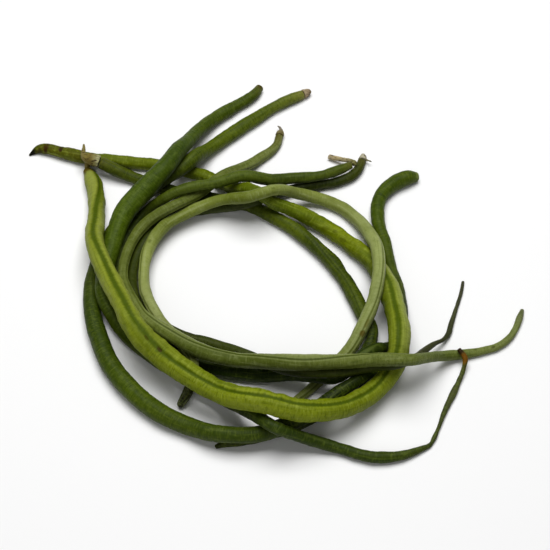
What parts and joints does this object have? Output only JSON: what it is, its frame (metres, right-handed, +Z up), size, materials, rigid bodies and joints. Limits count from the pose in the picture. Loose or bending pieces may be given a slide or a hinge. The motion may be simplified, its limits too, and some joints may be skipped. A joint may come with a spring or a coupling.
{
  "type": "yardlong bean bunch",
  "caption": "Loose, tangled coil of long slender bean pods lying on a surface, with free tips, calyces and dry stalks.",
  "frame": {"origin": "under the middle of the bunch's box, on the surface it lies on", "axes": "+Z up, -Y towards the viewer in front of the coil, +X to that viewer's right"},
  "size_m": [0.2516, 0.2302, 0.0296],
  "materials": {
    "ripe_pod_skin": "satin, yellow-green, over-ripe bean skin",
    "pale_pod_skin": "satin, light green bean skin",
    "dark_pod_skin": "satin, dark green bean skin",
    "dry_stalk": "matt, dry tan-brown stalk"
  },
  "bodies": {
    "root": {"pod_ripe": "ripe_pod_skin", "pod_pale_trailing": "pale_pod_skin", "pod_hooked": "dark_pod_skin", "pod_outer_ring": "dark_pod_skin", "pod_short": "dark_pod_skin", "pod_slender": "dark_pod_skin", "pod_stalked": "dark_pod_skin", "pod_pale_ring": "pale_pod_skin", "twin_stalk": "dry_stalk", "stalk_dry": "dry_stalk", "calyx_pale_trailing": "dry_stalk", "calyx_outer_ring": "dry_stalk", "calyx_slender": "dry_stalk"}
  },
  "joints": []
}
